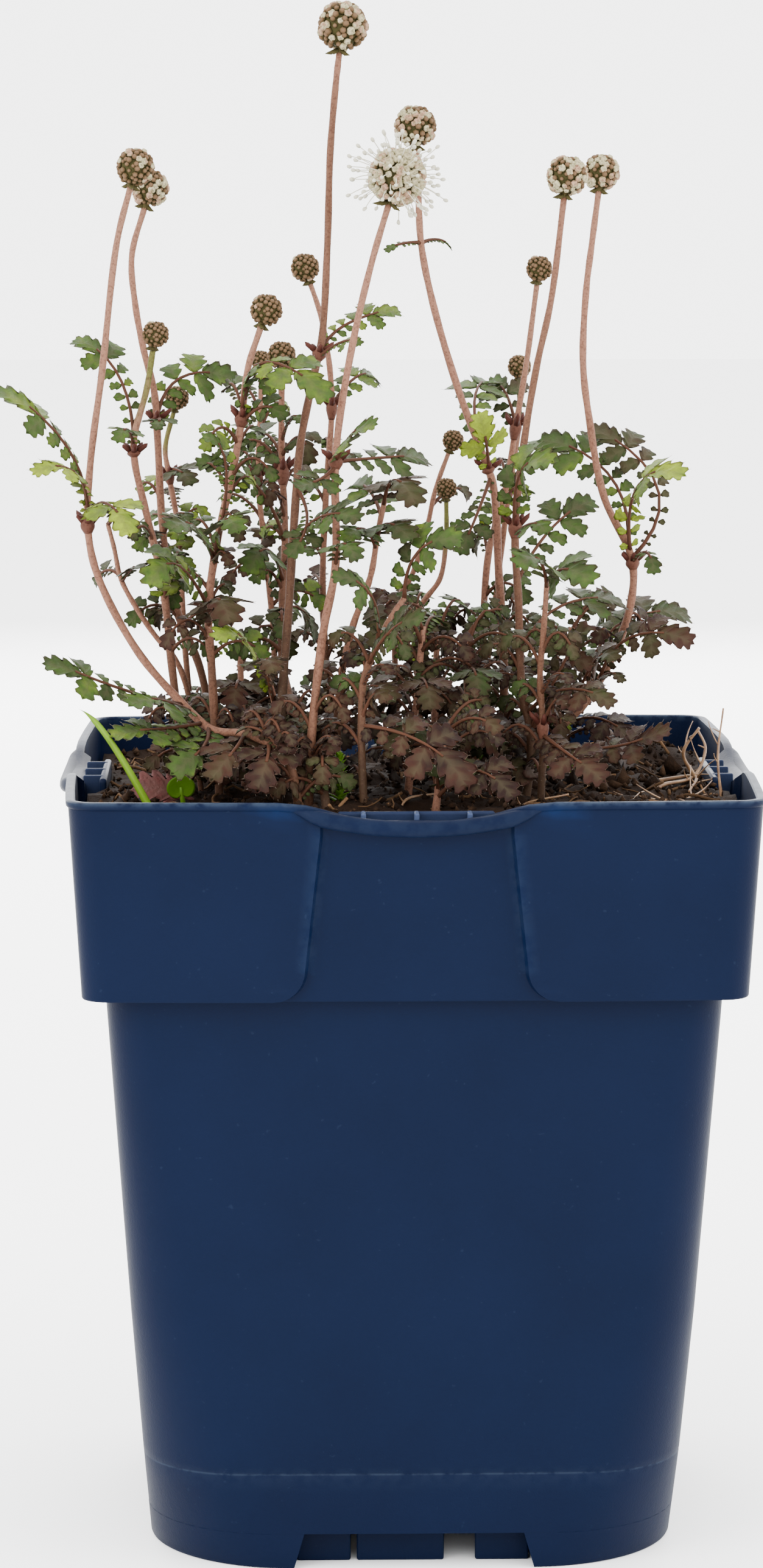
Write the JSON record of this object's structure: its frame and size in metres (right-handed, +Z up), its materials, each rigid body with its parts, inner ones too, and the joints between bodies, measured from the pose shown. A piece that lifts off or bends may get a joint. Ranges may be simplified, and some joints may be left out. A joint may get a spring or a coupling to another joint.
{
  "type": "potted kupferteppich new zealand bur",
  "caption": "Copper-leaved New Zealand bur in a square blue nursery pot: upright reddish stems with small toothed feathery leaves and round burry flower heads over dark potting soil.",
  "frame": {"origin": "middle of the pot's underside, on the ground", "axes": "+Z up; the pot's front side, as seen in the picture, faces -Y; +X is the viewer's right"},
  "size_m": [0.124, 0.117, 0.2536],
  "materials": {
    "pot_plastic": "semi-matte dark blue moulded plastic with a fine grain",
    "soil": null,
    "stem_and_leaf": null,
    "low_foliage": null,
    "flower_head": null,
    "straw": "dry straw and dead roots",
    "weed_green": null,
    "dead_leaf": null
  },
  "bodies": {
    "root": {"back_green": "stem_and_leaf", "back_thin": "stem_and_leaf", "centre_back": "stem_and_leaf", "centre_leafy": "stem_and_leaf", "centre_pink": "stem_and_leaf", "dead_leaf": "dead_leaf", "dry_grass": "straw", "dry_roots": "straw", "far_left": "stem_and_leaf", "far_right": "stem_and_leaf", "front_leafy": "stem_and_leaf", "grass_blade": "weed_green", "head_back_green": "flower_head", "head_back_thin": "flower_head", "head_centre_back": "flower_head", "head_centre_pink": "flower_head", "head_far_left": "flower_head", "head_far_right": "flower_head", "head_left_pale": "flower_head", "head_left_short": "flower_head", "head_left_small": "flower_head", "head_mid_back": "flower_head", "head_mid_leafy": "flower_head", "head_mid_left": "flower_head", "head_open_flower": "flower_head", "head_right_back": "flower_head", "head_right_hidden": "flower_head", "head_right_white": "flower_head", "head_tall_centre": "flower_head", "left_pale": "stem_and_leaf", "left_short": "stem_and_leaf", "left_small": "stem_and_leaf", "left_thin": "stem_and_leaf", "mid_back": "stem_and_leaf", "mid_leafy": "stem_and_leaf", "mid_left": "stem_and_leaf", "moss_patch": "weed_green", "open_flower": "stem_and_leaf", "pot": "pot_plastic", "red_leaf": "dead_leaf", "right_back": "stem_and_leaf", "right_hidden": "stem_and_leaf", "right_leafy": "stem_and_leaf", "right_white": "stem_and_leaf", "rosette_leafy": "stem_and_leaf", "seedling": "weed_green", "soil": "soil", "sprig_front": "weed_green", "sprig_right": "weed_green", "straw_front": "straw", "straw_long": "straw", "straw_middle": "straw", "tall_centre": "stem_and_leaf", "tuft_centre_back": "low_foliage", "tuft_front": "low_foliage", "tuft_left": "low_foliage", "tuft_left_back": "low_foliage", "tuft_middle": "low_foliage", "tuft_right": "low_foliage", "tuft_right_back": "low_foliage"}
  },
  "joints": []
}
